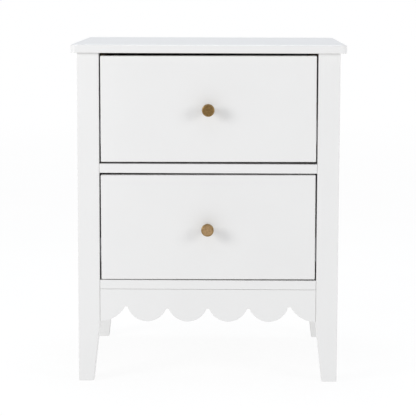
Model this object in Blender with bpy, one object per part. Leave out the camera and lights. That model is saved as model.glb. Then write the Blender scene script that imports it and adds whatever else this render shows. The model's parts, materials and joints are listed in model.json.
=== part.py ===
"""A two-drawer nightstand on four tapered legs, with a scalloped apron under its front.

Units are metres. The origin is the centre of the object's footprint, on the floor: +Z is up,
+X is to the right and the drawers open towards -Y.
"""
import math

import bmesh
import bpy
from mathutils import Matrix, Vector

# Driving dimensions
HEIGHT = 0.625
LEGS_WIDTH = 0.480          # across the outer faces of the legs
LEGS_DEPTH = 0.432          # front face of the front legs to back face of the rear legs
CLEARANCE = 0.0003          # between pieces that touch

TOP_THICKNESS = 0.015
TOP_OVERHANG = 0.0112       # past the legs at the front and the sides
TOP_CORNER = 0.010          # radius of the top's upright corners
TOP_EASE = 0.0025

LEG = 0.040                 # square section
FOOT = 0.0278               # section at the floor, once both inner faces have tapered
TAPER_HEIGHT = 0.114
LEG_EASE = 0.0012

RAIL = 0.0169               # thickness of the rails and of the bottom
BOTTOM_TOP = 0.1911         # upper face of the bottom, and of the middle rail
MIDDLE_RAIL_TOP = 0.4071
MIDDLE_RAIL_DEPTH = 0.060
RAIL_EASE = 0.0008
SIDE_THICKNESS = 0.015
SIDE_RECESS = 0.004         # behind the outer faces of the legs
REAR_RAIL_HEIGHT = 0.060
REAR_RAIL_INSET = 0.012     # rear rails and back panel, in from the back faces of the legs
BACK_THICKNESS = 0.006
BACK_GROOVE = 0.008         # depth of the rear legs' grooves

LOBES = 4                   # whole lobes of the apron, between two wider part lobes
LOBE_PITCH = 0.0750
LOBE_RADIUS = 0.0376
END_LOBE_RADIUS = 0.052     # part lobes, level where they meet the legs
LOBE_FACETS = 12
NOTCH_RADIUS = 0.0035       # rounded end of the notch between two lobes
NOTCH_FACETS = 4
APRON_BOTTOM = 0.1134
APRON_THICKNESS = 0.017

FRONT_WIDTH = 0.3945
FRONT_HEIGHT = 0.1940
FRONT_THICKNESS = 0.017
FRONT_EASE = 0.0012
FRONT_TILT = math.radians(-0.18)    # the fronts hang a touch off square
FRONT_BOTTOMS = {"upper": 0.4109, "lower": 0.1928}

BOX_WIDTH = 0.374
BOX_HEIGHT = 0.150
BOX_LENGTH = 0.360
BOX_BOARD = 0.012
BOX_LIFT = 0.0081           # box above the bottom edge of its front
BOX_EASE = 0.0015
BOX_BOTTOM = 0.005          # thickness of the drawer's bottom board
BOX_GROOVE_DEPTH = 0.005
BOX_GROOVE_LIFT = 0.010
BOX_BACK_DROP = 0.006       # back board below the sides' top edges

SLIDE_LENGTH = 0.350
SLIDE_LIFT = 0.045          # slide's centre line above the bottom of the box
SLIDE_START = 0.018         # slide behind the front faces of the legs
SLIDE_SHEET = 0.0012
SLIDE_HEIGHTS = {"outer": 0.045, "middle": 0.037, "inner": 0.029}
SPACER_HEIGHT = 0.060
CLEAT = 0.020

KNOB_RADIUS = 0.0115
KNOB_REACH = 0.028
KNOB_BORE_DEPTH = 0.012
KNOB_PLACES = {"upper": (0.0, -0.0005), "lower": (-0.0008, -0.0017)}    # from the front's middle

GLIDE_RADIUS = 0.008
GLIDE_THICKNESS = 0.002
GLIDE_STAND = 0.0005        # how far a glide holds its foot off the floor
GLIDE_NAIL = (0.0012, 0.014)    # radius and length

HOLE_SIDES = 12

# Derived planes
FRONT_Y = KNOB_REACH - (LEGS_DEPTH + KNOB_REACH) / 2
BACK_Y = FRONT_Y + LEGS_DEPTH
LEG_TOP = HEIGHT - TOP_THICKNESS - CLEARANCE
INNER_X = LEGS_WIDTH / 2 - LEG              # inner faces of the legs
SPAN_X = INNER_X - CLEARANCE                # half length of what fits between two legs
SIDE_OUTER_X = LEGS_WIDTH / 2 - SIDE_RECESS
SIDE_INNER_X = SIDE_OUTER_X - SIDE_THICKNESS
BAY_FRONT_Y = FRONT_Y + LEG + CLEARANCE     # free length between a front and a rear leg
BAY_BACK_Y = BACK_Y - LEG - CLEARANCE
REAR_RAIL_BACK_Y = BACK_Y - REAR_RAIL_INSET


def clear_scene():
    for item in list(bpy.data.objects):
        bpy.data.objects.remove(item, do_unlink=True)


def make_material(name, colour, roughness, metallic=0.0):
    material = bpy.data.materials.new(name)
    material.use_nodes = True
    shader = material.node_tree.nodes["Principled BSDF"]
    shader.inputs["Base Color"].default_value = (*colour, 1.0)
    shader.inputs["Roughness"].default_value = roughness
    shader.inputs["Metallic"].default_value = metallic
    material.diffuse_color = (*colour, 1.0)
    return material


def make_object(name, mesh_maker, material, location=(0, 0, 0), parent=None):
    """Link an object whose mesh mesh_maker fills in, closed and with its faces pointing out."""
    mesh = bpy.data.meshes.new(name)
    bm = bmesh.new()
    mesh_maker(bm)
    bmesh.ops.recalc_face_normals(bm, faces=bm.faces)
    bm.to_mesh(mesh)
    bm.free()
    item = bpy.data.objects.new(name, mesh)
    item.location = location
    item.parent = parent
    bpy.context.scene.collection.objects.link(item)
    if material:
        mesh.materials.append(material)
    return item


def make_empty(name, location):
    empty = bpy.data.objects.new(name, None)
    empty.location = location
    bpy.context.scene.collection.objects.link(empty)
    return empty


def ease_edges(item, width, segments=2):
    bevel = item.modifiers.new("eased_edges", "BEVEL")
    bevel.width = width
    bevel.segments = segments
    bevel.limit_method = "ANGLE"
    bevel.angle_limit = math.radians(40)
    return item


def extrude_outline(bm, outline, vector):
    """Close outline with a face and extrude it along vector."""
    verts = [bm.verts.new(point) for point in outline]
    face = bm.faces.new(verts)
    result = bmesh.ops.extrude_face_region(bm, geom=[face])
    moved = [element for element in result["geom"] if isinstance(element, bmesh.types.BMVert)]
    bmesh.ops.translate(bm, verts=moved, vec=vector)


def make_board(name, low, high, material, ease=RAIL_EASE, parent=None):
    """A board between two corners, which are relative to the parent's origin."""
    low = Vector(low)
    high = Vector(high)

    def fill(bm):
        bmesh.ops.create_cube(bm, size=1.0, matrix=Matrix.Diagonal((*(high - low), 1.0)))

    item = make_object(name, fill, material, (low + high) / 2, parent)
    return ease_edges(item, ease) if ease else item


def make_profile(name, outline, length, material, location, parent=None):
    """A section in X and Z, extruded along Y."""
    def fill(bm):
        extrude_outline(bm, [(x, 0, z) for x, z in outline], (0, length, 0))

    return make_object(name, fill, material, location, parent)


def make_turned(name, profile, material, location, rotation=(0, 0, 0), sides=HOLE_SIDES, parent=None):
    """A closed profile of (radius, height) points, from axis to axis, turned about local Z."""
    def fill(bm):
        rings = []
        for radius, height in profile:
            angles = [2 * math.pi * i / sides for i in range(sides)]
            if radius:
                rings.append([bm.verts.new((radius * math.cos(a), radius * math.sin(a), height))
                              for a in angles])
            else:
                rings.append([bm.verts.new((0, 0, height))])
        for lower, upper in zip(rings, rings[1:]):
            for i in range(sides):
                j = (i + 1) % sides
                corners = [lower[i % len(lower)], lower[j % len(lower)],
                           upper[j % len(upper)], upper[i % len(upper)]]
                bm.faces.new(list(dict.fromkeys(corners)))

    item = make_object(name, fill, material, location, parent)
    item.rotation_euler = rotation
    item.data.shade_smooth()
    item.data.set_sharp_from_angle(angle=math.radians(40))
    return item


def cut(item, cutter):
    """Take a closed cutter away from item. The cutter shares item's parent."""
    cutter.hide_render = True
    cutter.display_type = "WIRE"
    cutter.parent = item.parent
    boolean = item.modifiers.new("cut_" + cutter.name, "BOOLEAN")
    boolean.operation = "DIFFERENCE"
    boolean.solver = "EXACT"
    boolean.object = cutter
    boolean.use_self = False


def drill(item, name, radius, start, vector):
    """A round hole from start along vector."""
    vector = Vector(vector)
    turn = Vector((0, 0, 1)).rotation_difference(vector).to_euler()
    profile = [(0, 0), (radius, 0), (radius, vector.length), (0, vector.length)]
    cut(item, make_turned(name, profile, None, start, turn))


def screw_profile(head_radius, head_height, shank_radius, length):
    """Pan head with its top at height 0, and a pointed shank down to -length."""
    return [(0, 0), (head_radius * 0.7, 0), (head_radius, -head_height * 0.5),
            (head_radius, -head_height), (shank_radius, -head_height),
            (shank_radius, -length + 2 * shank_radius), (0, -length)]


# Carcass ---------------------------------------------------------------------------------------

def make_top(material):
    half_x = LEGS_WIDTH / 2 + TOP_OVERHANG
    low_y = FRONT_Y - TOP_OVERHANG

    def fill(bm):
        outline = []
        corners = [(half_x, low_y, -90), (half_x, BACK_Y, 0), (-half_x, BACK_Y, 90), (-half_x, low_y, 180)]
        for x, y, start in corners:
            centre_x = x - math.copysign(TOP_CORNER, x)
            centre_y = y - math.copysign(TOP_CORNER, y)
            for step in range(6):
                angle = math.radians(start + 18 * step)
                outline.append((centre_x + TOP_CORNER * math.cos(angle),
                                centre_y + TOP_CORNER * math.sin(angle), 0))
        extrude_outline(bm, outline, (0, 0, TOP_THICKNESS))

    top = make_object("top_panel", fill, material, (0, 0, HEIGHT - TOP_THICKNESS))
    return ease_edges(top, TOP_EASE)


def make_leg(name, side_x, side_y, material, glide_material):
    """A leg whose outer corner stays plumb while its two inner faces taper to the foot."""
    corner = Vector((side_x * LEGS_WIDTH / 2, FRONT_Y if side_y < 0 else BACK_Y, 0))

    def fill(bm):
        rings = []
        for height, section in ((GLIDE_STAND, FOOT), (TAPER_HEIGHT, LEG), (LEG_TOP, LEG)):
            rings.append([bm.verts.new((-side_x * x * section, -side_y * y * section, height))
                          for x, y in ((0, 0), (1, 0), (1, 1), (0, 1))])
        bm.faces.new(rings[0])
        bm.faces.new(rings[-1])
        for lower, upper in zip(rings, rings[1:]):
            for i in range(4):
                j = (i + 1) % 4
                bm.faces.new((lower[i], lower[j], upper[j], upper[i]))

    leg = ease_edges(make_object("leg_" + name, fill, material, corner), LEG_EASE)
    foot = corner + Vector((-side_x * FOOT / 2, -side_y * FOOT / 2, 0))
    recess = GLIDE_THICKNESS + CLEARANCE
    drill(leg, "glide_recess_" + name, GLIDE_RADIUS + CLEARANCE, foot - Vector((0, 0, recess)),
          (0, 0, 2 * recess))
    nail_radius, nail_length = GLIDE_NAIL
    drill(leg, "nail_hole_" + name, nail_radius + CLEARANCE, foot,
          (0, 0, GLIDE_THICKNESS + nail_length + CLEARANCE))
    profile = [(0, 0), (GLIDE_RADIUS * 0.9, 0), (GLIDE_RADIUS, GLIDE_STAND),
               (GLIDE_RADIUS, GLIDE_THICKNESS), (nail_radius, GLIDE_THICKNESS),
               (nail_radius, nail_length), (0, GLIDE_THICKNESS + nail_length)]
    make_turned("foot_glide_" + name, profile, glide_material, foot, sides=16)
    return leg


def make_side(side, sign, material):
    low_x, high_x = sorted((sign * SIDE_INNER_X, sign * SIDE_OUTER_X))
    make_board("side_panel_" + side, (low_x, BAY_FRONT_Y, TAPER_HEIGHT), (high_x, BAY_BACK_Y, LEG_TOP),
               material)


def make_bottom(material):
    """The bottom fills the space between the legs, notched round each of them."""
    bay_x = SIDE_INNER_X - CLEARANCE
    back_y = REAR_RAIL_BACK_Y - BACK_THICKNESS - CLEARANCE
    quarter = [(SPAN_X, FRONT_Y), (SPAN_X, BAY_FRONT_Y), (bay_x, BAY_FRONT_Y),
               (bay_x, BAY_BACK_Y), (SPAN_X, BAY_BACK_Y), (SPAN_X, back_y)]

    def fill(bm):
        outline = quarter + [(-x, y) for x, y in reversed(quarter)]
        extrude_outline(bm, [(x, y, 0) for x, y in outline], (0, 0, RAIL))

    ease_edges(make_object("bottom_panel", fill, material, (0, 0, BOTTOM_TOP - RAIL)), RAIL_EASE)


def arc(centre, radius, start, end, facets):
    """Points on a circle between two angles, measured from +X towards +Z."""
    angles = [start + (end - start) * step / facets for step in range(facets + 1)]
    return [(centre.x + radius * math.cos(angle), centre.y + radius * math.sin(angle))
            for angle in angles]


def notch_centre(lobe, next_lobe):
    """Centre of the small circle that touches two lobes from below."""
    centre, radius = lobe
    next_centre, next_radius = next_lobe
    along = next_centre - centre
    reach = radius + NOTCH_RADIUS
    next_reach = next_radius + NOTCH_RADIUS
    foot = (reach ** 2 - next_reach ** 2 + along.length_squared) / (2 * along.length)
    drop = math.sqrt(reach ** 2 - foot ** 2)
    along.normalize()
    return centre + foot * along + drop * Vector((along.y, -along.x))


def scalloped_edge():
    """The apron's lower edge: lobes, all as low as each other, with a rounded notch between two."""
    places = [(-SPAN_X, END_LOBE_RADIUS)]
    places += [((lobe - (LOBES - 1) / 2) * LOBE_PITCH, LOBE_RADIUS) for lobe in range(LOBES)]
    places += [(SPAN_X, END_LOBE_RADIUS)]
    lobes = [(Vector((x, APRON_BOTTOM + radius)), radius) for x, radius in places]
    outline = []
    start = -math.pi / 2
    for (centre, radius), next_lobe in zip(lobes, lobes[1:]):
        notch = notch_centre((centre, radius), next_lobe)
        to_notch = notch - centre
        to_next = next_lobe[0] - notch
        end = math.atan2(to_notch.y, to_notch.x)
        outline += arc(centre, radius, start, end, LOBE_FACETS)
        outline += arc(notch, NOTCH_RADIUS, math.pi + end, math.atan2(to_next.y, to_next.x),
                       NOTCH_FACETS)[1:-1]
        start = math.atan2(-to_next.y, -to_next.x)
    outline += arc(*lobes[-1], start, -math.pi / 2, LOBE_FACETS)
    return outline


def make_apron(material):
    top = BOTTOM_TOP - RAIL - CLEARANCE
    outline = [(-SPAN_X, top)] + scalloped_edge() + [(SPAN_X, top)]
    make_profile("front_apron", outline, APRON_THICKNESS, material, (0, FRONT_Y, 0))


def make_back(rear_legs, paint, board_material):
    """The back panel slides down in grooves of the rear legs, behind the rear rails."""
    panel_y = REAR_RAIL_BACK_Y - BACK_THICKNESS
    panel_x = INNER_X + BACK_GROOVE - CLEARANCE
    panel_bottom = BOTTOM_TOP - RAIL
    make_board("back_panel", (-panel_x, panel_y, panel_bottom), (panel_x, REAR_RAIL_BACK_Y, LEG_TOP),
               board_material, ease=0)
    for leg in rear_legs:
        sign = math.copysign(1, leg.location.x)
        low_x, high_x = sorted((sign * (INNER_X - BACK_GROOVE), sign * (INNER_X + BACK_GROOVE)))
        cut(leg, make_board("groove_" + leg.name,
                            (low_x, panel_y - CLEARANCE, panel_bottom - CLEARANCE),
                            (high_x, REAR_RAIL_BACK_Y + CLEARANCE, HEIGHT), None, ease=0))
    rail_front_y = panel_y - CLEARANCE - RAIL
    make_board("rear_top_rail", (-SPAN_X, rail_front_y, LEG_TOP - REAR_RAIL_HEIGHT),
               (SPAN_X, panel_y - CLEARANCE, LEG_TOP), paint)
    make_board("rear_bottom_rail", (-SPAN_X, REAR_RAIL_BACK_Y - RAIL, panel_bottom - REAR_RAIL_HEIGHT),
               (SPAN_X, REAR_RAIL_BACK_Y, panel_bottom - CLEARANCE), paint)


def make_cleat(side, sign, top, wood, steel):
    """A strip along a side panel, with two screws up through it into the top."""
    low_x, high_x = sorted((sign * INNER_X, sign * (SIDE_INNER_X - CLEARANCE)))
    bottom = LEG_TOP - CLEAT
    cleat = make_board("top_cleat_" + side, (low_x, BAY_FRONT_Y, bottom), (high_x, BAY_BACK_Y, LEG_TOP), wood)
    head_radius, head_height, shank_radius, bite = 0.0042, 0.0025, 0.002, 0.010
    length = head_height + CLEAT + 2 * CLEARANCE + bite
    for place, y in (("front", BAY_FRONT_Y + 0.060), ("rear", BAY_BACK_Y - 0.060)):
        head = Vector(((low_x + high_x) / 2, y, bottom - CLEARANCE - head_height))
        tag = side + "_" + place
        make_turned("top_screw_" + tag, screw_profile(head_radius, head_height, shank_radius, length),
                    steel, head, (math.pi, 0, 0))
        drill(cleat, "cleat_hole_" + tag, shank_radius + CLEARANCE, head, (0, 0, 2 * CLEAT))
        drill(top, "top_hole_" + tag, shank_radius + CLEARANCE, head, (0, 0, length + CLEARANCE))


# Slides ----------------------------------------------------------------------------------------

def make_channel(name, half_height, web_x, lip_x, y, material, parent):
    """A folded channel along Y, from its web at web_x to the free edges of its flanges at lip_x."""
    sheet = math.copysign(SLIDE_SHEET, lip_x - web_x)
    inner = half_height - SLIDE_SHEET
    outline = [(web_x, -half_height), (lip_x, -half_height), (lip_x, -inner), (web_x + sheet, -inner),
               (web_x + sheet, inner), (lip_x, inner), (lip_x, half_height), (web_x, half_height)]
    return make_profile(name, outline, SLIDE_LENGTH, material, (0, y, 0), parent)


def make_slides(level, slide_z, drawer, middle, wood, steel):
    """A spacer and three nested slide members at each side of a drawer."""
    y = FRONT_Y + SLIDE_START
    for side, sign in (("left", -1), ("right", 1)):
        low_x, high_x = sorted((sign * INNER_X, sign * (SIDE_INNER_X - CLEARANCE)))
        make_board(f"{level}_slide_spacer_{side}",
                   (low_x, BAY_FRONT_Y, slide_z - SPACER_HEIGHT / 2),
                   (high_x, BAY_BACK_Y, slide_z + SPACER_HEIGHT / 2), wood)
        box_x = BOX_WIDTH / 2 + CLEARANCE
        channels = (("outer", SPAN_X, SPAN_X - 0.0102, None),
                    ("middle", SPAN_X - 0.0020, SPAN_X - 0.0096, middle),
                    ("inner", box_x, box_x + 0.0080, drawer))
        for member, web_x, lip_x, parent in channels:
            half_height = SLIDE_HEIGHTS[member] / 2
            channel = make_channel(f"{level}_slide_{member}_{side}", half_height, sign * web_x,
                                   sign * lip_x, y, steel, parent)
            channel.location.z = slide_z
            if parent:
                channel.location -= parent.location


# Drawers ---------------------------------------------------------------------------------------

def make_box_side(name, sign, start_y, bottom, material, parent):
    """A drawer side, grooved inside for the bottom board, with its top edges eased."""
    outer = sign * BOX_WIDTH / 2
    inner = outer - sign * BOX_BOARD
    groove = inner + sign * BOX_GROOVE_DEPTH
    groove_low = BOX_GROOVE_LIFT
    groove_high = BOX_GROOVE_LIFT + BOX_BOTTOM + 2 * CLEARANCE
    outline = [(outer, 0), (outer, BOX_HEIGHT - BOX_EASE), (outer - sign * BOX_EASE, BOX_HEIGHT),
               (inner + sign * BOX_EASE, BOX_HEIGHT), (inner, BOX_HEIGHT - BOX_EASE),
               (inner, groove_high), (groove, groove_high), (groove, groove_low), (inner, groove_low),
               (inner, 0)]
    return make_profile(name, outline, BOX_LENGTH, material, (0, start_y, bottom), parent)


def make_box(level, start_y, bottom, box_material, board_material, parent):
    """Two sides, a front and a back between them, and a bottom board in their grooves."""
    for side, sign in (("left", -1), ("right", 1)):
        make_box_side(f"{level}_box_side_{side}", sign, start_y, bottom, box_material, parent)
    half_x = BOX_WIDTH / 2 - BOX_BOARD - CLEARANCE
    groove_high = BOX_GROOVE_LIFT + BOX_BOTTOM + 2 * CLEARANCE

    def fill_front(bm):
        outline = [(0, 0), (0, BOX_HEIGHT), (BOX_BOARD, BOX_HEIGHT), (BOX_BOARD, groove_high),
                   (BOX_BOARD - BOX_GROOVE_DEPTH, groove_high),
                   (BOX_BOARD - BOX_GROOVE_DEPTH, BOX_GROOVE_LIFT), (BOX_BOARD, BOX_GROOVE_LIFT),
                   (BOX_BOARD, 0)]
        extrude_outline(bm, [(-half_x, y, z) for y, z in outline], (2 * half_x, 0, 0))

    box_front = make_object(f"{level}_box_front", fill_front, box_material, (0, start_y, bottom), parent)
    end_y = start_y + BOX_LENGTH
    make_board(f"{level}_box_back", (-half_x, end_y - BOX_BOARD, bottom + groove_high),
               (half_x, end_y, bottom + BOX_HEIGHT - BOX_BACK_DROP), box_material, BOX_EASE, parent)
    tongue = BOX_GROOVE_DEPTH - CLEARANCE
    make_board(f"{level}_box_bottom",
               (-half_x - CLEARANCE - tongue, start_y + BOX_BOARD - tongue,
                bottom + BOX_GROOVE_LIFT + CLEARANCE),
               (half_x + CLEARANCE + tongue, end_y, bottom + BOX_GROOVE_LIFT + CLEARANCE + BOX_BOTTOM),
               board_material, 0, parent)
    return box_front


def make_knob(level, front, box_front, brass, steel, parent):
    """A turned knob near the middle of the front, held by a screw from inside the box."""
    place_x, place_z = KNOB_PLACES[level]
    bore_radius = 0.002 + CLEARANCE
    profile = [(0, KNOB_BORE_DEPTH), (bore_radius, KNOB_BORE_DEPTH), (bore_radius, CLEARANCE),
               (0.0078, CLEARANCE), (0.0080, 0.0012), (0.0072, 0.0026), (0.0056, 0.0042),
               (0.0052, 0.0075), (0.0054, 0.0120), (0.0066, 0.0160), (0.0090, 0.0184),
               (0.0110, 0.0196), (KNOB_RADIUS, 0.0212), (KNOB_RADIUS, 0.0264), (0.0112, 0.0275),
               (0.0104, KNOB_REACH), (0.0098, 0.0274), (0, 0.0274)]
    make_turned(f"{level}_knob", profile, brass, (place_x, 0, place_z), (math.pi / 2, 0, 0), 24, parent)
    inside_y = FRONT_THICKNESS + CLEARANCE + BOX_BOARD
    add_drawer_screw(f"{level}_knob_screw", (place_x, inside_y, place_z), 0.0045, 0.002,
                     inside_y + KNOB_BORE_DEPTH - 0.002, (front, box_front), steel, parent)


def add_drawer_screw(name, place, head_radius, shank_radius, reach, boards, steel, parent):
    """A screw whose head lies on the inside of the box front, and its hole through boards."""
    head_height = 0.0026
    head = Vector(place) + Vector((0, CLEARANCE + head_height, 0))
    length = head_height + CLEARANCE + reach
    make_turned(name, screw_profile(head_radius, head_height, shank_radius, length), steel, head,
                (-math.pi / 2, 0, 0), parent=parent)
    for board in boards:
        drill(board, f"hole_{name}_{board.name}", shank_radius + CLEARANCE, head,
              (0, -length - CLEARANCE, 0))


def make_drawer(level, materials):
    """A drawer, hung from an empty at the middle of its front's face."""
    front_bottom = FRONT_BOTTOMS[level]
    drawer = make_empty(f"{level}_drawer_axis", (0, FRONT_Y, front_bottom + FRONT_HEIGHT / 2))
    half_z = FRONT_HEIGHT / 2
    front = make_board(f"{level}_drawer_front", (-FRONT_WIDTH / 2, 0, -half_z),
                       (FRONT_WIDTH / 2, FRONT_THICKNESS, half_z), materials["paint"], FRONT_EASE, drawer)
    front.rotation_euler.y = FRONT_TILT
    bottom = BOX_LIFT - half_z
    box_front = make_box(level, FRONT_THICKNESS + CLEARANCE, bottom, materials["box"],
                         materials["board"], drawer)
    make_knob(level, front, box_front, materials["brass"], materials["steel"], drawer)
    inside_y = FRONT_THICKNESS + CLEARANCE + BOX_BOARD
    for side, sign in (("left", -1), ("right", 1)):
        add_drawer_screw(f"{level}_front_screw_{side}", (sign * 0.120, inside_y, -0.020), 0.004,
                         0.00175, BOX_BOARD + CLEARANCE + 0.011, (front, box_front),
                         materials["steel"], drawer)
    slide_z = front_bottom + BOX_LIFT + SLIDE_LIFT
    middle = make_empty(f"{level}_slide_axis", (0, FRONT_Y, slide_z))
    make_slides(level, slide_z, drawer, middle, materials["wood"], materials["steel"])


def main():
    clear_scene()
    materials = {
        "paint": make_material("white_paint", (0.86, 0.86, 0.85), 0.45),
        "box": make_material("drawer_box_ply", (0.74, 0.62, 0.45), 0.55),
        "board": make_material("thin_white_board", (0.80, 0.79, 0.76), 0.60),
        "wood": make_material("plain_softwood", (0.66, 0.50, 0.32), 0.65),
        "steel": make_material("zinc_steel", (0.62, 0.63, 0.64), 0.35, 1.0),
        "brass": make_material("aged_brass", (0.42, 0.27, 0.10), 0.40, 1.0),
        "plastic": make_material("glide_plastic", (0.75, 0.74, 0.71), 0.50),
    }
    paint = materials["paint"]
    top = make_top(paint)
    rear_legs = []
    for place_y, side_y in (("front", -1), ("rear", 1)):
        for place_x, side_x in (("left", -1), ("right", 1)):
            leg = make_leg(place_y + "_" + place_x, side_x, side_y, paint, materials["plastic"])
            if side_y > 0:
                rear_legs.append(leg)
    make_bottom(paint)
    make_board("middle_rail", (-SPAN_X, FRONT_Y, MIDDLE_RAIL_TOP - RAIL),
               (SPAN_X, FRONT_Y + MIDDLE_RAIL_DEPTH, MIDDLE_RAIL_TOP), paint)
    make_apron(paint)
    make_back(rear_legs, paint, materials["board"])
    for side, sign in (("left", -1), ("right", 1)):
        make_side(side, sign, paint)
        make_cleat(side, sign, top, materials["wood"], materials["steel"])
    for level in FRONT_BOTTOMS:
        make_drawer(level, materials)


main()
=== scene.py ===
"""Looks of the two-drawer nightstand: painted carcass, pale wood drawers on steel slides, brass knobs.

Units are metres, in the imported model's frame: the floor is z = 0 and the drawers open towards -Y.
"""

import json
import math

import bmesh
import bpy
from mathutils import Matrix, Vector


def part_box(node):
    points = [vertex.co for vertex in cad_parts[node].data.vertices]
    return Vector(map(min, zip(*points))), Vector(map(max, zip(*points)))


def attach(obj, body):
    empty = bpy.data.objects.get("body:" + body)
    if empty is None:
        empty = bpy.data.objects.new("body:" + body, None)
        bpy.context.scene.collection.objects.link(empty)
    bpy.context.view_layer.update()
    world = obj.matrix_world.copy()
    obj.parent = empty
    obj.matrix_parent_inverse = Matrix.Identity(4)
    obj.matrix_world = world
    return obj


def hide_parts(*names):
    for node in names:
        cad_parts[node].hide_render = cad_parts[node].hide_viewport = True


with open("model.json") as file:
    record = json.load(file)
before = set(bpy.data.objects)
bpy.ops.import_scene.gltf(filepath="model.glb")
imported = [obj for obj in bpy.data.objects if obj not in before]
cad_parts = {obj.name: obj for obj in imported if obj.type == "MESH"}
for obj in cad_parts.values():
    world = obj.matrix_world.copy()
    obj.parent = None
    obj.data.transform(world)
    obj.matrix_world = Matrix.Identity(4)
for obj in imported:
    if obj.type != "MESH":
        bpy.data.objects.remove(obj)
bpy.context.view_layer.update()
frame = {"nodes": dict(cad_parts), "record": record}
BODY_OF = {node: body for body, nodes in frame["record"]["behaviour"]["bodies"].items() for node in nodes}
SLOT_OF = {entry["node"]: entry["material_slot"] for entry in frame["record"]["subparts"]}
LEVELS = ("upper", "lower")
SIDES = (("left", -1), ("right", 1))

# Easing of the edges
TOP_EASE = 0.0024
TOP_UNDER_EASE = 0.0012
TOP_CORNER = 0.010
LEG_EASE = 0.0013
RAIL_EASE = 0.0008
PANEL_EASE = 0.0007
BACK_EASE = 0.0004
FRONT_EASE = 0.0018

# Outlines that the boxes of the CAD nodes don't give
TAPER_HEIGHT = 0.114
FOOT = 0.0278
FRONT_SIZE = (0.3945, 0.1940)       # a drawer front, before its tilt
FRONT_TILT = math.radians(-0.18)
LOBES = 4                           # whole lobes of the apron, between two wider part lobes
LOBE_PITCH = 0.0750
LOBE_RADIUS = 0.0376
END_LOBE_RADIUS = 0.052
NOTCH_RADIUS = 0.0035               # rounded end of the notch between two lobes
GROOVE_ROOM = Vector((0.0003, 0.0003, 0.0003))      # round a board that stands in a groove
BOX_GROOVE_DEPTH = 0.005
BOX_EASE = 0.0015
BOX_BOTTOM_EASE = 0.0003

# Slides
SHEET = 0.0012                      # folded steel
BEND_RADIUS = 0.0022
SLIDE_SCREWS = (0.035, 0.160, 0.300)        # along each slide, from its front
SLIDE_HOLE = 0.0045
SLIDE_SCREW_HEAD = (0.0036, 0.0018)         # radius and height

# Screws. Shank radii are absolute, and the rest are shares of the head's radius or height.
SHANK_RADII = {"knob": 0.002, "front": 0.00175, "top": 0.002}
HEAD_HEIGHT = 0.6                   # of the head's radius
CROSS_ARM = (0.56, 0.14)            # half length and half width, of the head's radius
CROSS_DEPTH = 0.6                   # of the head's height

# Knobs: (radius, reach) from the drawer front outwards
KNOB_FOOT = 0.0070
KNOB_FOOT_EASE = 0.0010
KNOB_NECK = ((0.0064, 0.0026), (0.0057, 0.0040), (0.0053, 0.0060), (0.0052, 0.0085), (0.0053, 0.0110),
             (0.0057, 0.0135), (0.0065, 0.0155), (0.0078, 0.0172), (0.0094, 0.0185), (0.0106, 0.0194))
KNOB_RIM_REACH = 0.0208
KNOB_RIM_EASE = 0.0014
KNOB_RIM = 0.0021                   # width of the rim round the flat face
KNOB_FACE_SINK = 0.0003

# Stage, lights and camera
FLOOR_TONE = 0.12
FLOOR_SIZE = 250.0
FLOOR_GLOW = ((-1.4, 0.76), (-0.47, 0.878), (1.2, 0.895), (6.0, 0.93))     # (y, glow) from front to back
LOW_WALL = (0.745, 0.745, 0.745)
HIGH_WALL = (0.22, 0.22, 0.222)
CEILING = (0.865, 0.88, 0.925)
WALL_HEIGHTS = (0.08, 0.42, 1.0)    # sines of the elevations of the three tones above
FRONT_AIM = (0.0, -0.21, 0.45)
FRONT_LIGHT_SIZE = (0.7, 0.7)
KEY_PLACE = (-1.50, -1.37, 0.98)
KEY_POWER = 14.0
FILL_PLACE = (1.50, -1.37, 0.98)
FILL_POWER = 8.9
OVERHEAD_PLACE = (0.0, 0.25, 2.3)
OVERHEAD_AIM = (0.0, 0.1, 0.6)
OVERHEAD_SIZE = (1.0, 1.0)
OVERHEAD_POWER = 15.5
OVERHEAD_COLOUR = (0.91, 0.95, 0.99)
CAMERA_PLACE = (0.0372, -3.3119, 0.7346)
CAMERA_ANGLES = (-0.689, 7.484, 0.165)      # yaw, downward pitch and roll, in degrees
CAMERA_LENS = 147.63


# Node materials --------------------------------------------------------------------------------

def add_node(tree, kind, inputs=None, **settings):
    """A new node. An input is a value, or another node's output socket to link from."""
    node = tree.nodes.new(kind)
    for name, value in settings.items():
        setattr(node, name, value)
    for name, value in (inputs or {}).items():
        if isinstance(value, bpy.types.NodeSocket):
            tree.links.new(value, node.inputs[name])
        else:
            node.inputs[name].default_value = value
    return node


def new_material(name):
    """An empty material with a Principled shader. Returns the material, its tree and the shader."""
    material = bpy.data.materials.new(name)
    material.use_nodes = True
    tree = material.node_tree
    return material, tree, tree.nodes["Principled BSDF"]


def noise(tree, vector, scale, detail=2.0, roughness=0.5):
    """Noise from 0 to 1, with about scale patches to each unit of the vector."""
    return add_node(tree, "ShaderNodeTexNoise", {"Vector": vector, "Scale": scale, "Detail": detail,
                                                 "Roughness": roughness}).outputs["Fac"]


def ramp(tree, factor, stops):
    """Colour ramp from (position, colour) stops."""
    node = add_node(tree, "ShaderNodeValToRGB", {"Fac": factor})
    elements = node.color_ramp.elements
    while len(elements) < len(stops):
        elements.new(1.0)
    for element, (position, colour) in zip(elements, stops):
        element.position = position
        element.color = (*colour, 1.0)
    return node.outputs["Color"]


def remap(tree, factor, low, high, from_low=0.0, from_high=1.0):
    """A factor moved from one range to another, and held within it."""
    limits = {"From Min": from_low, "From Max": from_high, "To Min": low, "To Max": high}
    return add_node(tree, "ShaderNodeMapRange", {"Value": factor, **limits}).outputs["Result"]


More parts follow.
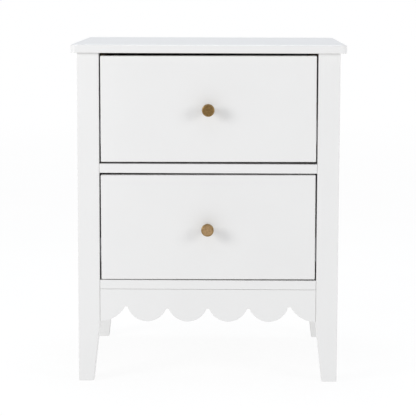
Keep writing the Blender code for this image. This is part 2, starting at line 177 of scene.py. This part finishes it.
def blend_colours(tree, factor, first, second, blend_type="MIX"):
    """Mix of two colours, each a colour or another node's output socket."""
    node = add_node(tree, "ShaderNodeMix", data_type="RGBA", blend_type=blend_type)
    for socket, value in ((node.inputs[0], factor), (node.inputs[6], first), (node.inputs[7], second)):
        if isinstance(value, bpy.types.NodeSocket):
            tree.links.new(value, socket)
        else:
            socket.default_value = value
    return node.outputs[2]


def stretched(tree, scale):
    """Object coordinates, scaled along each axis."""
    coordinates = add_node(tree, "ShaderNodeTexCoord").outputs["Object"]
    return add_node(tree, "ShaderNodeMapping", {"Vector": coordinates, "Scale": scale}).outputs["Vector"]


def add_bump(tree, shader, height, distance, strength=1.0):
    """Fine relief on a shader's surface, distance deep."""
    bump = add_node(tree, "ShaderNodeBump", {"Height": height, "Strength": strength, "Distance": distance})
    tree.links.new(bump.outputs["Normal"], shader.inputs["Normal"])


def paint_material(name, colour, roughness):
    """Sprayed satin paint: a fine orange peel, and a barely uneven tone and sheen."""
    material, tree, shader = new_material(name)
    vector = stretched(tree, (1, 1, 1))
    cloud = noise(tree, vector, 7.0, 3.0)
    peel = noise(tree, vector, 620.0, 2.0, 0.55)
    fine = noise(tree, vector, 140.0, 3.0)
    darker = tuple(0.985 * c for c in colour)
    tree.links.new(ramp(tree, cloud, ((0.35, darker), (0.65, colour))), shader.inputs["Base Color"])
    tree.links.new(remap(tree, fine, roughness - 0.05, roughness + 0.06, 0.3, 0.7),
                   shader.inputs["Roughness"])
    shader.inputs["Specular IOR Level"].default_value = 0.45
    add_bump(tree, shader, peel, 0.00005, 0.5)
    return material


def wood_material(name, pale, dark, grain_axis, roughness=0.5):
    """Planed pale wood whose grain runs along one axis, with fine pores and a faint flame."""
    material, tree, shader = new_material(name)
    scale = [30.0, 30.0, 30.0]
    scale[grain_axis] = 1.6
    vector = stretched(tree, scale)
    bend = noise(tree, vector, 0.5, 2.0)
    warped = add_node(tree, "ShaderNodeVectorMath", {0: vector}, operation="ADD")
    tree.links.new(add_node(tree, "ShaderNodeVectorMath", {0: bend, 1: (1.6, 1.6, 1.6)},
                            operation="MULTIPLY").outputs["Vector"], warped.inputs[1])
    rings = noise(tree, warped.outputs["Vector"], 1.4, 5.0, 0.62)
    pores = noise(tree, vector, 16.0, 4.0, 0.7)
    tone = ramp(tree, rings, ((0.30, dark), (0.52, tuple((a + b) / 2 for a, b in zip(pale, dark))),
                              (0.72, pale)))
    pore_tone = ramp(tree, pores, ((0.30, (0.80, 0.76, 0.70)), (0.46, (1.0, 1.0, 1.0))))
    colour = blend_colours(tree, 0.45, tone, pore_tone, "MULTIPLY")
    tree.links.new(colour, shader.inputs["Base Color"])
    tree.links.new(remap(tree, pores, roughness + 0.12, roughness - 0.04), shader.inputs["Roughness"])
    add_bump(tree, shader, pores, 0.00008, 0.5)
    return material


def board_material(name, colour):
    """White-faced thin board with a faint print of fibres."""
    material, tree, shader = new_material(name)
    vector = stretched(tree, (1, 1, 1))
    fibres = noise(tree, vector, 260.0, 4.0, 0.7)
    cloud = noise(tree, vector, 9.0, 2.0)
    darker = tuple(0.95 * c for c in colour)
    tone = ramp(tree, fibres, ((0.25, darker), (0.60, colour)))
    tree.links.new(blend_colours(tree, 0.5, tone, ramp(tree, cloud, ((0.3, darker), (0.7, colour)))),
                   shader.inputs["Base Color"])
    tree.links.new(remap(tree, fibres, 0.50, 0.66), shader.inputs["Roughness"])
    add_bump(tree, shader, fibres, 0.00006, 0.4)
    return material


def steel_material(name):
    """Zinc-plated sheet, drawn along Y: long fine streaks in its tone, sheen and relief."""
    material, tree, shader = new_material(name)
    streaks = noise(tree, stretched(tree, (900.0, 6.0, 900.0)), 1.0, 3.0)
    cloud = noise(tree, stretched(tree, (1, 1, 1)), 55.0, 4.0)
    tone = ramp(tree, streaks, ((0.3, (0.56, 0.57, 0.585)), (0.7, (0.70, 0.71, 0.72))))
    tint = ramp(tree, cloud, ((0.35, (0.93, 0.94, 0.97)), (0.65, (1.0, 1.0, 0.985))))
    tree.links.new(blend_colours(tree, 1.0, tone, tint, "MULTIPLY"), shader.inputs["Base Color"])
    tree.links.new(remap(tree, cloud, 0.26, 0.42), shader.inputs["Roughness"])
    shader.inputs["Metallic"].default_value = 1.0
    add_bump(tree, shader, streaks, 0.00002, 0.4)
    return material


def brass_material(name, bright, dull, roughness, relief):
    """Aged brass: a mottled patina over the metal, with grains cast into its surface."""
    material, tree, shader = new_material(name)
    vector = stretched(tree, (1, 1, 1))
    mottle = noise(tree, vector, 260.0, 4.0, 0.6)
    grain = noise(tree, vector, 900.0, 3.0, 0.6)
    tree.links.new(ramp(tree, mottle, ((0.34, dull), (0.66, bright))), shader.inputs["Base Color"])
    tree.links.new(remap(tree, mottle, roughness + 0.10, roughness - 0.06, 0.3, 0.7),
                   shader.inputs["Roughness"])
    shader.inputs["Metallic"].default_value = 1.0
    add_bump(tree, shader, grain, relief, 0.6)
    return material


def plastic_material(name, colour):
    """Moulded plastic with a fine spark-eroded grain."""
    material, tree, shader = new_material(name)
    grain = noise(tree, stretched(tree, (1, 1, 1)), 1500.0, 2.0)
    darker = tuple(0.94 * c for c in colour)
    tree.links.new(ramp(tree, grain, ((0.3, darker), (0.7, colour))), shader.inputs["Base Color"])
    tree.links.new(remap(tree, grain, 0.42, 0.55), shader.inputs["Roughness"])
    add_bump(tree, shader, grain, 0.00003, 0.4)
    return material


PALE_BIRCH = (0.70, 0.53, 0.35)
DARK_BIRCH = (0.55, 0.38, 0.22)
# Painted light on the knob faces: one brass in two copies. The upper face's copy is darker as painted shade,
# and the lower face's copy is lighter as painted light.
UPPER_BRASS_PAINTED_SHADE = (0.298, 0.189, 0.075)
UPPER_PATINA_PAINTED_SHADE = (0.195, 0.118, 0.045)
LOWER_BRASS_PAINTED_LIT = (0.50, 0.336, 0.176)
LOWER_PATINA_PAINTED_LIT = (0.35, 0.226, 0.115)
RIM_BRASS = (0.40, 0.27, 0.115)
RIM_PATINA = (0.27, 0.175, 0.07)
MATERIALS = {
    "paint": paint_material("satin_white_paint", (0.80, 0.80, 0.797), 0.42),
    "paint_edge": paint_material("satin_white_paint_edges", (0.79, 0.787, 0.779), 0.36),
    "box_x": wood_material("birch_grain_x", PALE_BIRCH, DARK_BIRCH, 0),
    "box_y": wood_material("birch_grain_y", PALE_BIRCH, DARK_BIRCH, 1),
    "pine_y": wood_material("pine_grain_y", (0.72, 0.50, 0.28), (0.52, 0.30, 0.14), 1, 0.6),
    "board": board_material("white_faced_board", (0.82, 0.81, 0.78)),
    "steel": steel_material("zinc_plate"),
    # The upper knob face carries painted shade, and the lower knob face carries painted light.
    "brass_upper": brass_material("upper_knob_face_painted_shade", UPPER_BRASS_PAINTED_SHADE, UPPER_PATINA_PAINTED_SHADE, 0.42, 0.00012),
    "brass_lower": brass_material("lower_knob_face_painted_lit", LOWER_BRASS_PAINTED_LIT, LOWER_PATINA_PAINTED_LIT, 0.42, 0.00012),
    "brass_rim": brass_material("knob_rim_and_stem", RIM_BRASS, RIM_PATINA, 0.34, 0.00005),
    "plastic": plastic_material("glide_plastic", (0.74, 0.73, 0.70)),
}


# Mesh helpers ----------------------------------------------------------------------------------

def finish_piece(name, bm, node, materials, sharp_angle=50, weighted=True):
    """Make a smooth-shaded piece of bm that stands for a CAD node and rides on that node's body."""
    bmesh.ops.recalc_face_normals(bm, faces=bm.faces)
    mesh = bpy.data.meshes.new(name)
    bm.to_mesh(mesh)
    bm.free()
    for key in materials:
        mesh.materials.append(MATERIALS[key])
    mesh.shade_smooth()
    mesh.set_sharp_from_angle(angle=math.radians(sharp_angle))
    piece = bpy.data.objects.new(name, mesh)
    bpy.context.scene.collection.objects.link(piece)
    if weighted:
        normals = piece.modifiers.new("flat_faces", "WEIGHTED_NORMAL")
        normals.keep_sharp = True
    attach(piece, BODY_OF[node])
    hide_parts(node)
    return piece


def bevel_edges(bm, edges, width, segments=4, material_index=0):
    """Round edges off, with the rounded faces in their own material."""
    bmesh.ops.bevel(bm, geom=edges, offset=width, offset_type="OFFSET", segments=segments, profile=0.5,
                    affect="EDGES", clamp_overlap=True, material=material_index)


def sharp_edges(bm, degrees=35):
    """The edges whose two faces meet at more than an angle."""
    return [edge for edge in bm.edges if edge.calc_face_angle(0.0) > math.radians(degrees)]


def extrude_outline(bm, outline, vector):
    """A prism over a flat outline."""
    face = bm.faces.new([bm.verts.new(point) for point in outline])
    result = bmesh.ops.extrude_face_region(bm, geom=[face])
    moved = [element for element in result["geom"] if isinstance(element, bmesh.types.BMVert)]
    bmesh.ops.translate(bm, verts=moved, vec=vector)


def add_box(bm, low, high, turn=None):
    """A box between two corners, turned about its middle."""
    place = Matrix.Translation((low + high) / 2)
    bmesh.ops.create_cube(bm, size=1.0, matrix=place @ (turn or Matrix.Identity(4))
                          @ Matrix.Diagonal((*(high - low), 1.0)))


def make_board(node, materials, ease, segments=4):
    """A board that fills its node's box. The last material is for its eased edges."""
    bm = bmesh.new()
    add_box(bm, *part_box(node))
    bevel_edges(bm, bm.edges[:], ease, segments, len(materials) - 1)
    return finish_piece(node + "_finished", bm, node, materials)


def carved(bm, cutter):
    """The closed mesh bm with the closed mesh cutter taken away. Both are used up."""
    items = []
    for part in (bm, cutter):
        bmesh.ops.recalc_face_normals(part, faces=part.faces)
        mesh = bpy.data.meshes.new("carving")
        part.to_mesh(mesh)
        part.free()
        item = bpy.data.objects.new("carving", mesh)
        bpy.context.scene.collection.objects.link(item)
        items.append(item)
    boolean = items[0].modifiers.new("cut", "BOOLEAN")
    boolean.object = items[1]
    result = bmesh.new()
    result.from_object(items[0], bpy.context.evaluated_depsgraph_get())
    for item in items:
        bpy.data.meshes.remove(item.data)
    return result


def turned(bm, profile, place, direction, steps):
    """A profile of (radius, reach) points, turned about an axis from place along direction."""
    turn = Vector((0, 0, 1)).rotation_difference(Vector(direction))
    matrix = Matrix.Translation(place) @ turn.to_matrix().to_4x4()
    rings = []
    for radius, reach in profile:
        angles = [2 * math.pi * i / steps for i in range(steps)] if radius else [0]
        rings.append([bm.verts.new(matrix @ Vector((radius * math.cos(a), radius * math.sin(a), reach)))
                      for a in angles])
    for lower, upper in zip(rings, rings[1:]):
        for i in range(steps):
            j = (i + 1) % steps
            corners = [lower[i % len(lower)], lower[j % len(lower)], upper[j % len(upper)],
                       upper[i % len(upper)]]
            bm.faces.new(list(dict.fromkeys(corners)))


def arc(centre, radius, start, end, facets):
    """Points on a circle between two angles, measured from the first axis towards the second."""
    angles = [start + (end - start) * step / facets for step in range(facets + 1)]
    return [(centre[0] + radius * math.cos(angle), centre[1] + radius * math.sin(angle)) for angle in angles]


# Carcass ---------------------------------------------------------------------------------------

def make_top():
    """The top, with round corners, eased more above than below."""
    low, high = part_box("top_panel")
    bm = bmesh.new()
    outline = []
    corners = ((high.x, low.y), (high.x, high.y), (low.x, high.y), (low.x, low.y))
    for quarter, (x, y) in enumerate(corners, start=-1):
        centre = (x - math.copysign(TOP_CORNER, x), y - math.copysign(TOP_CORNER, y))
        start = quarter * math.pi / 2
        outline += [(*point, low.z) for point in arc(centre, TOP_CORNER, start, start + math.pi / 2, 12)]
    extrude_outline(bm, outline, (0, 0, high.z - low.z))
    rims = sharp_edges(bm, 60)
    upper = [edge for edge in rims if edge.verts[0].co.z > low.z + 0.001]
    under = [edge for edge in rims if edge.verts[0].co.z < low.z + 0.001]
    bevel_edges(bm, upper, TOP_EASE, 5, 1)
    bevel_edges(bm, under, TOP_UNDER_EASE, 3, 1)
    return finish_piece("top_panel_finished", bm, "top_panel", ["paint", "paint_edge"])


def make_leg(node):
    """A leg with plumb outer faces, whose two inner faces taper to the foot."""
    low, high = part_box(node)
    side_x = math.copysign(1, low.x + high.x)
    side_y = math.copysign(1, low.y + high.y)
    corner = Vector((high.x if side_x > 0 else low.x, high.y if side_y > 0 else low.y, 0))
    section = high.x - low.x
    bm = bmesh.new()
    rings = []
    for height, size in ((low.z, FOOT), (TAPER_HEIGHT, section), (high.z, section)):
        rings.append([bm.verts.new((corner.x - side_x * x * size, corner.y - side_y * y * size, height))
                      for x, y in ((0, 0), (1, 0), (1, 1), (0, 1))])
    bm.faces.new(rings[0])
    bm.faces.new(rings[-1])
    for lower, upper in zip(rings, rings[1:]):
        for i in range(4):
            j = (i + 1) % 4
            bm.faces.new((lower[i], lower[j], upper[j], upper[i]))
    bmesh.ops.recalc_face_normals(bm, faces=bm.faces)
    bevel_edges(bm, sharp_edges(bm), LEG_EASE, 4, 1)
    if side_y > 0:
        panel_low, panel_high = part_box("back_panel")
        groove = bmesh.new()
        add_box(groove, panel_low - GROOVE_ROOM, panel_high + GROOVE_ROOM)
        bm = carved(bm, groove)
    return finish_piece(node + "_finished", bm, node, ["paint", "paint_edge"], sharp_angle=30)


def notch_centre(lobe, next_lobe):
    """Centre of the small circle that touches two lobes from below."""
    centre, radius = lobe
    next_centre, next_radius = next_lobe
    along = next_centre - centre
    reach = radius + NOTCH_RADIUS
    next_reach = next_radius + NOTCH_RADIUS
    foot = (reach ** 2 - next_reach ** 2 + along.length_squared) / (2 * along.length)
    drop = math.sqrt(reach ** 2 - foot ** 2)
    along.normalize()
    return centre + foot * along + drop * Vector((along.y, -along.x))


def scalloped_edge(half_length, bottom):
    """The apron's lower edge: lobes, all as low as each other, with a rounded notch between two."""
    places = [(-half_length, END_LOBE_RADIUS)]
    places += [((lobe - (LOBES - 1) / 2) * LOBE_PITCH, LOBE_RADIUS) for lobe in range(LOBES)]
    places += [(half_length, END_LOBE_RADIUS)]
    lobes = [(Vector((x, bottom + radius)), radius) for x, radius in places]
    outline = []
    start = -math.pi / 2
    for (centre, radius), next_lobe in zip(lobes, lobes[1:]):
        notch = notch_centre((centre, radius), next_lobe)
        to_notch = notch - centre
        to_next = next_lobe[0] - notch
        end = math.atan2(to_notch.y, to_notch.x)
        outline += arc(centre, radius, start, end, 32)
        outline += arc(notch, NOTCH_RADIUS, math.pi + end, math.atan2(to_next.y, to_next.x), 12)[1:-1]
        start = math.atan2(-to_next.y, -to_next.x)
    outline += arc(*lobes[-1], start, -math.pi / 2, 32)
    return outline


def make_apron():
    """The board under the drawers, with its scalloped lower edge."""
    low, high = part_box("front_apron")
    outline = [(low.x, high.z)] + scalloped_edge(high.x, low.z) + [(high.x, high.z)]
    bm = bmesh.new()
    extrude_outline(bm, [(x, low.y, z) for x, z in outline], (0, high.y - low.y, 0))
    rims = [edge for edge in sharp_edges(bm) if abs(edge.verts[0].co.y - edge.verts[1].co.y) < 0.001]
    bevel_edges(bm, rims, RAIL_EASE, 3, 1)
    return finish_piece("front_apron_finished", bm, "front_apron", ["paint", "paint_edge"])


def make_bottom():
    """The bottom fills the space between the legs, notched round each of them."""
    low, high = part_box("bottom_panel")
    rail_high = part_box("middle_rail")[1]
    side_low, side_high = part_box("side_panel_right")
    bm = bmesh.new()
    quarter = [(rail_high.x, low.y), (rail_high.x, side_low.y), (high.x, side_low.y),
               (high.x, side_high.y), (rail_high.x, side_high.y), (rail_high.x, high.y)]
    outline = quarter + [(-x, y) for x, y in reversed(quarter)]
    extrude_outline(bm, [(x, y, low.z) for x, y in outline], (0, 0, high.z - low.z))
    bevel_edges(bm, sharp_edges(bm, 60), RAIL_EASE, 3, 1)
    return finish_piece("bottom_panel_finished", bm, "bottom_panel", ["paint", "paint_edge"])


def make_carcass():
    """Everything that stays still, but for the slides' outer members, the screws and the foot glides."""
    make_top()
    for node in BODY_OF:
        if node.startswith("leg_"):
            make_leg(node)
    make_apron()
    make_bottom()
    for node in ("middle_rail", "rear_top_rail", "rear_bottom_rail"):
        make_board(node, ["paint", "paint_edge"], RAIL_EASE)
    for side, _ in SIDES:
        make_board("side_panel_" + side, ["paint", "paint_edge"], PANEL_EASE)
        make_board("top_cleat_" + side, ["pine_y"], PANEL_EASE)
        for level in LEVELS:
            make_board(f"{level}_slide_spacer_{side}", ["pine_y"], PANEL_EASE)
    make_board("back_panel", ["board"], BACK_EASE, 2)


# Drawers ---------------------------------------------------------------------------------------

def make_front(level):
    """A drawer front with eased edges, hung a touch off square."""
    node = level + "_drawer_front"
    low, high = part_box(node)
    half = Vector((FRONT_SIZE[0], high.y - low.y, FRONT_SIZE[1])) / 2
    middle = (low + high) / 2
    bm = bmesh.new()
    add_box(bm, middle - half, middle + half, Matrix.Rotation(FRONT_TILT, 4, "Y"))
    bevel_edges(bm, bm.edges[:], FRONT_EASE, 4, 1)
    return finish_piece(node + "_finished", bm, node, ["paint", "paint_edge"])


def make_knob(level):
    """A turned knob: foot, waist, flare, and a flat grained face inside a narrow bright rim."""
    node = level + "_knob"
    low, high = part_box(node)
    foot = Vector(((low.x + high.x) / 2, high.y, (low.z + high.z) / 2))
    reach = high.y - low.y
    head = (high.x - low.x) / 2
    quarter = math.pi / 2
    rim_centre = head - KNOB_RIM_EASE
    face_radius = head - KNOB_RIM
    face_reach = reach - KNOB_FACE_SINK
    profile = [(0, 0), (KNOB_FOOT, 0)]
    profile += arc((KNOB_FOOT, KNOB_FOOT_EASE), KNOB_FOOT_EASE, -quarter, quarter, 6)[1:]
    profile += KNOB_NECK
    profile += arc((rim_centre, KNOB_RIM_REACH), KNOB_RIM_EASE, math.radians(-50), 0, 4)
    profile += arc((rim_centre, reach - KNOB_RIM_EASE), KNOB_RIM_EASE, 0, quarter, 8)
    profile += [(face_radius + KNOB_FACE_SINK, reach), (face_radius, face_reach)]
    profile += [(face_radius * share, face_reach) for share in (0.8, 0.6, 0.4, 0.2)] + [(0, face_reach)]
    bm = bmesh.new()
    turned(bm, profile, foot, (0, -1, 0), 64)
    for face in bm.faces:
        middle = face.calc_center_median() - foot
        if math.hypot(middle.x, middle.z) < face_radius and -middle.y > face_reach - 0.0005:
            face.material_index = 1
    # The face takes its level's brass copy: painted shade on the upper knob, painted light on the lower.
    return finish_piece(node + "_finished", bm, node, ["brass_rim", "brass_" + level], 40, weighted=False)


def make_box_side(level, side, sign):
    """A drawer side with rounded top edges, grooved inside for the bottom board."""
    node = f"{level}_box_side_{side}"
    low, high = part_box(node)
    board_low, board_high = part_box(level + "_box_bottom")
    outer, inner = (high.x, low.x) if sign > 0 else (low.x, high.x)
    groove = inner + sign * BOX_GROOVE_DEPTH
    groove_low = board_low.z - GROOVE_ROOM.z
    groove_high = board_high.z + GROOVE_ROOM.z
    quarter = math.pi / 2
    top = high.z - BOX_EASE
    rounded = arc((high.x - BOX_EASE, top), BOX_EASE, 0, quarter, 5)
    rounded += arc((low.x + BOX_EASE, top), BOX_EASE, quarter, 2 * quarter, 5)
    if sign < 0:
        rounded.reverse()
    outline = [(outer, low.z)] + rounded
    outline += [(inner, groove_high), (groove, groove_high), (groove, groove_low), (inner, groove_low),
                (inner, low.z)]
    bm = bmesh.new()
    extrude_outline(bm, [(x, low.y, z) for x, z in outline], (0, high.y - low.y, 0))
    return finish_piece(node + "_finished", bm, node, ["box_y"], 30)


def make_box_front(level):
    """The board behind the front, between the sides, grooved inside for the bottom board."""
    node = level + "_box_front"
    low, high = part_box(node)
    board_low, board_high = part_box(level + "_box_bottom")
    groove_low = board_low.z - GROOVE_ROOM.z
    groove_high = board_high.z + GROOVE_ROOM.z
    groove = high.y - BOX_GROOVE_DEPTH
    rounded = arc((high.y - BOX_EASE, high.z - BOX_EASE), BOX_EASE, math.pi / 2, 0, 5)
    outline = [(low.y, low.z), (low.y, high.z)] + rounded
    outline += [(high.y, groove_high), (groove, groove_high), (groove, groove_low), (high.y, groove_low),
                (high.y, low.z)]
    bm = bmesh.new()
    extrude_outline(bm, [(low.x, y, z) for y, z in outline], (high.x - low.x, 0, 0))
    return finish_piece(node + "_finished", bm, node, ["box_x"], 30)


def make_drawer(level):
    """A drawer front with its knob, and the box behind it."""
    make_front(level)
    make_knob(level)
    for side, sign in SIDES:
        make_box_side(level, side, sign)
    make_box_front(level)
    make_board(level + "_box_back", ["box_x"], BOX_EASE)
    make_board(level + "_box_bottom", ["board"], BOX_BOTTOM_EASE, 2)


# Slides and screws -----------------------------------------------------------------------------

def channel_outline(web_x, lip_x, low_z, high_z):
    """A folded channel's section: its web, two bends, two flanges and their rounded free edges."""
    sign = math.copysign(1, lip_x - web_x)
    depth = abs(lip_x - web_x)
    quarter = math.pi / 2
    edge = SHEET / 2
    centre = (BEND_RADIUS, BEND_RADIUS)
    outer_bend = arc(centre, BEND_RADIUS, -quarter, -2 * quarter, 6)
    inner_bend = arc(centre, BEND_RADIUS - SHEET, -2 * quarter, -quarter, 6)
    lower = inner_bend + arc((depth - edge, edge), edge, quarter, -quarter, 6) + outer_bend
    upper = [(x, high_z - low_z - z) for x, z in reversed(lower)]
    return [(web_x + sign * x, low_z + z) for x, z in lower + upper]


def make_slide_member(level, member, side, sign):
    """One folded channel of a slide: the outer and middle open inwards, and the inner outwards."""
    node = f"{level}_slide_{member}_{side}"
    low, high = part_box(node)
    opens = sign if member == "inner" else -sign
    web_x, lip_x = (low.x, high.x) if opens > 0 else (high.x, low.x)
    outline = channel_outline(web_x, lip_x, low.z, high.z)
    bm = bmesh.new()
    extrude_outline(bm, [(x, low.y, z) for x, z in outline], (0, high.y - low.y, 0))
    middle_z = (low.z + high.z) / 2
    outwards = Vector((opens, 0, 0))
    for reach in SLIDE_SCREWS:
        place = Vector((web_x, low.y + reach, middle_z))
        if member == "middle":
            hole = bmesh.new()
            profile = [(0, 0), (SLIDE_HOLE, 0), (SLIDE_HOLE, 3 * SHEET), (0, 3 * SHEET)]
            turned(hole, profile, place - outwards * SHEET, outwards, 24)
            bm = carved(bm, hole)
        elif member == "inner":
            head_top = place + outwards * (SHEET + SLIDE_SCREW_HEAD[1])
            turned(bm, pan_head(*SLIDE_SCREW_HEAD), head_top, -outwards, 24)
    return finish_piece(node + "_finished", bm, node, ["steel"], 30)


def pan_head(radius, height):
    """A low domed head, from the middle of its top down to its flat underside."""
    return [(0, 0), (radius * 0.35, height * 0.04), (radius * 0.65, height * 0.16),
            (radius * 0.88, height * 0.42), (radius, height * 0.80), (radius, height), (0, height)]


def make_screw(node, kind, direction):
    """A pan-head screw with a cross recess, whose head is at the start of direction."""
    low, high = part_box(node)
    direction = Vector(direction)
    size = high - low
    length = abs(size.dot(direction))
    head = (low + high) / 2 - direction * length / 2
    radius = size.x / 2
    head_height = HEAD_HEIGHT * radius
    shank = SHANK_RADII[kind]
    profile = pan_head(radius, head_height)[:-1]
    profile += [(shank, head_height), (shank, length - 2 * shank), (0, length)]
    bm = bmesh.new()
    turned(bm, profile, head, direction, 32)
    long_arm, short_arm = (share * radius for share in CROSS_ARM)
    depth = CROSS_DEPTH * head_height
    for arm_x, arm_y in ((long_arm, short_arm), (short_arm, long_arm)):
        arm = Vector((arm_x, depth, arm_y)) if abs(direction.y) > 0.5 else Vector((arm_x, arm_y, depth))
        cutter = bmesh.new()
        add_box(cutter, head - arm, head + arm)
        bm = carved(bm, cutter)
    return finish_piece(node + "_finished", bm, node, ["steel"], 35, weighted=False)


def make_hardware():
    """The slides of both drawers and all the screws."""
    for level in LEVELS:
        for side, sign in SIDES:
            for member in ("outer", "middle", "inner"):
                make_slide_member(level, member, side, sign)
            make_screw(f"{level}_front_screw_{side}", "front", (0, -1, 0))
        make_screw(level + "_knob_screw", "knob", (0, -1, 0))
    for side, _ in SIDES:
        for place in ("front", "rear"):
            make_screw(f"top_screw_{side}_{place}", "top", (0, 0, 1))


def carry_over():
    """The foot glides keep their own shape and take a finished material."""
    for node, item in frame["nodes"].items():
        if SLOT_OF[node] == "glide_plastic":
            item.data.materials.clear()
            item.data.materials.append(MATERIALS["plastic"])


# Stage -----------------------------------------------------------------------------------------

def make_stage():
    """A wide pale floor whose glow, which drops a little in front, runs into the studio's white."""
    floor_material, tree, shader = new_material("pale_floor")
    mottle = noise(tree, stretched(tree, (1, 1, 1)), 3.0)
    tree.links.new(ramp(tree, mottle, ((0.3, (FLOOR_TONE,) * 3), (0.7, (FLOOR_TONE * 1.05,) * 3))),
                   shader.inputs["Base Color"])
    shader.inputs["Roughness"].default_value = 0.9
    shader.inputs["Specular IOR Level"].default_value = 0.0
    shader.inputs["Emission Color"].default_value = (1, 1, 1, 1)
    place = add_node(tree, "ShaderNodeTexCoord").outputs["Object"]
    place_y = add_node(tree, "ShaderNodeSeparateXYZ", {"Vector": place}).outputs["Y"]
    near_y = FLOOR_GLOW[0][0]
    far_y = FLOOR_GLOW[-1][0]
    stops = [((y - near_y) / (far_y - near_y), (glow, glow, glow)) for y, glow in FLOOR_GLOW]
    tree.links.new(ramp(tree, remap(tree, place_y, 0.0, 1.0, near_y, far_y), stops),
                   shader.inputs["Emission Strength"])
    bm = bmesh.new()
    bmesh.ops.create_grid(bm, x_segments=8, y_segments=8, size=FLOOR_SIZE)
    mesh = bpy.data.meshes.new("floor")
    bm.to_mesh(mesh)
    bm.free()
    mesh.materials.append(floor_material)
    floor = bpy.data.objects.new("floor", mesh)
    bpy.context.scene.collection.objects.link(floor)


def add_area_light(name, place, target, size, power, colour=(1, 1, 1)):
    """A soft light that faces its target."""
    light = bpy.data.lights.new(name, "AREA")
    light.shape = "RECTANGLE"
    light.size, light.size_y = size
    light.energy = power
    light.color = colour
    item = bpy.data.objects.new(name, light)
    item.location = place
    item.rotation_euler = (Vector(target) - Vector(place)).to_track_quat("-Z", "Y").to_euler()
    bpy.context.scene.collection.objects.link(item)


def make_lights():
    """A studio with pale low walls, dim high walls and a pale ceiling, and three soft lights."""
    world = bpy.data.worlds.new("studio")
    world.use_nodes = True
    tree = world.node_tree
    direction = add_node(tree, "ShaderNodeTexCoord").outputs["Generated"]
    height = add_node(tree, "ShaderNodeSeparateXYZ", {"Vector": direction}).outputs["Z"]
    tone = ramp(tree, height, tuple(zip(WALL_HEIGHTS, (LOW_WALL, HIGH_WALL, CEILING))))
    tree.links.new(tone, tree.nodes["Background"].inputs["Color"])
    bpy.context.scene.world = world
    add_area_light("key_left", KEY_PLACE, FRONT_AIM, FRONT_LIGHT_SIZE, KEY_POWER)
    add_area_light("fill_right", FILL_PLACE, FRONT_AIM, FRONT_LIGHT_SIZE, FILL_POWER)
    add_area_light("overhead", OVERHEAD_PLACE, OVERHEAD_AIM, OVERHEAD_SIZE, OVERHEAD_POWER, OVERHEAD_COLOUR)


def make_camera():
    """A long lens from a little right of centre and above, tipped down, with a hint of roll."""
    yaw, pitch, roll = (math.radians(angle) for angle in CAMERA_ANGLES)
    forward = Vector((math.sin(yaw) * math.cos(pitch), math.cos(yaw) * math.cos(pitch), -math.sin(pitch)))
    level = Vector((math.cos(yaw), -math.sin(yaw), 0))
    upright = level.cross(forward)
    right = level * math.cos(roll) + upright * math.sin(roll)
    up = upright * math.cos(roll) - level * math.sin(roll)
    camera = bpy.data.cameras.new("camera")
    camera.sensor_width = 36
    camera.lens = CAMERA_LENS
    camera.clip_end = 2 * FLOOR_SIZE
    item = bpy.data.objects.new("camera", camera)
    turn = Matrix((right, up, -forward)).transposed().to_4x4()
    item.matrix_world = Matrix.Translation(CAMERA_PLACE) @ turn
    bpy.context.scene.collection.objects.link(item)
    bpy.context.scene.camera = item


make_camera()
make_carcass()
for each_level in LEVELS:
    make_drawer(each_level)
make_hardware()
carry_over()
make_stage()
make_lights()
bpy.context.scene.view_settings.view_transform = "Standard"
